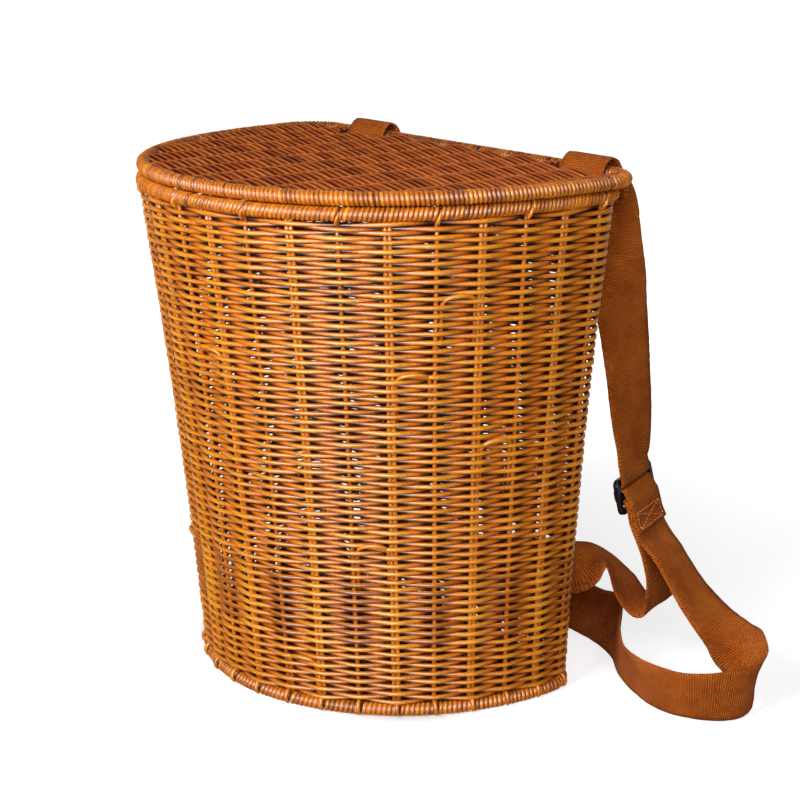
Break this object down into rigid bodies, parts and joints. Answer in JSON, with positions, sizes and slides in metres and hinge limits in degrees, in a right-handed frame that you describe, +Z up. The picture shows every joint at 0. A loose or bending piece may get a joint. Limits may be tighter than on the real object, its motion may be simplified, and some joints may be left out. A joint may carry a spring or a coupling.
{
  "type": "woven storage basket",
  "caption": "Half-round woven carrying basket with a flat back, a lid hinged on webbing loops, wrapped rims and webbing shoulder straps with sliders, for storing and carrying things.",
  "frame": {"origin": "on the floor under the middle of the basket's box, straps left out", "axes": "+Z up, +X along the flat back, +Y from the round front to the flat back where the straps hang"},
  "size_m": [0.4278, 0.3185, 0.3561],
  "materials": {
    "strand": "varnished wicker strands",
    "lid_strand": "varnished wicker strands",
    "webbing": "ribbed woven webbing",
    "slider": "moulded black plastic"
  },
  "bodies": {
    "basket": {"base_hoop": "strand", "base_panel": "strand", "woven_wall": "strand", "stake_01": "strand", "stake_02": "strand", "stake_03": "strand", "stake_04": "strand", "stake_05": "strand", "stake_06": "strand", "stake_07": "strand", "stake_08": "strand", "stake_09": "strand", "stake_10": "strand", "stake_11": "strand", "stake_12": "strand", "stake_13": "strand", "stake_14": "strand", "stake_15": "strand", "stake_16": "strand", "stake_17": "strand", "stake_18": "strand", "stake_19": "strand", "stake_20": "strand", "stake_21": "strand", "stake_22": "strand", "stake_23": "strand", "stake_24": "strand", "stake_25": "strand", "stake_26": "strand", "stake_27": "strand", "stake_28": "strand", "stake_29": "strand", "stake_30": "strand", "top_hoop": "strand", "strap_right": "webbing", "strap_left": "webbing", "slider_right": "slider", "slider_left": "slider"},
    "lid": {"lid_hoop": "strand", "lid_panel": "lid_strand", "lid_rib_1": "lid_strand", "lid_rib_2": "lid_strand", "lid_rib_3": "lid_strand", "lid_rib_4": "lid_strand", "lid_rib_5": "lid_strand", "lid_rib_6": "lid_strand", "lid_rib_7": "lid_strand", "lid_rib_8": "lid_strand", "lid_rib_9": "lid_strand"}
  },
  "joints": [
    {"name": "lid_hinge", "type": "hinge", "parent": "basket", "child": "lid", "pos_m": [0, 0.11645, 0.34545], "axis": [-1, 0, 0], "range_deg": [0, 110]}
  ]
}
